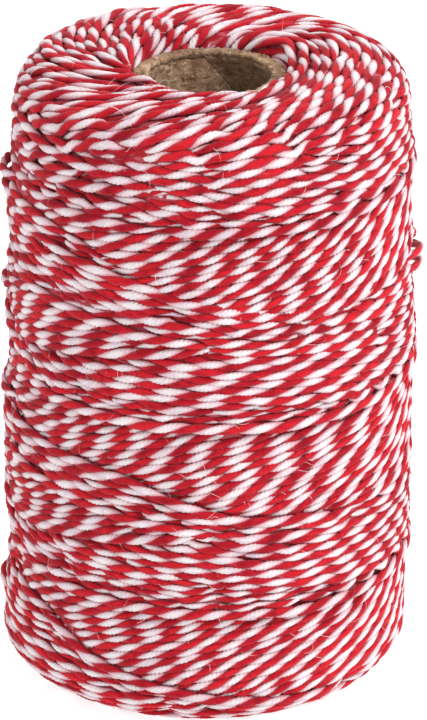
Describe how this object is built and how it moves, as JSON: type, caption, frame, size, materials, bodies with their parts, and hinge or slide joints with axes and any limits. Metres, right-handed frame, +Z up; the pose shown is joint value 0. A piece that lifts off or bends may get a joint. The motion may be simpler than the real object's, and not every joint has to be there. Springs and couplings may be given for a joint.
{
  "type": "spool of bakers twine",
  "caption": "Roll of red-and-white two-ply cotton twine wound on an open cardboard tube, standing on end.",
  "frame": {"origin": "on the tube's axis, at the level of the surface that the roll stands on", "axes": "+Z up along the tube's axis; -Y towards the viewer; the twine climbs towards +X at the front"},
  "size_m": [0.08, 0.0792, 0.1243],
  "materials": {
    "tube_cardboard": "spiral-wound grey-brown board, matt and fibrous, with a fuzzy cut rim",
    "twine_cotton": "soft cotton twine, one red and one white ply twisted together, matt"
  },
  "bodies": {
    "root": {"core_tube": "tube_cardboard", "twine_winding": "twine_cotton"}
  },
  "joints": []
}
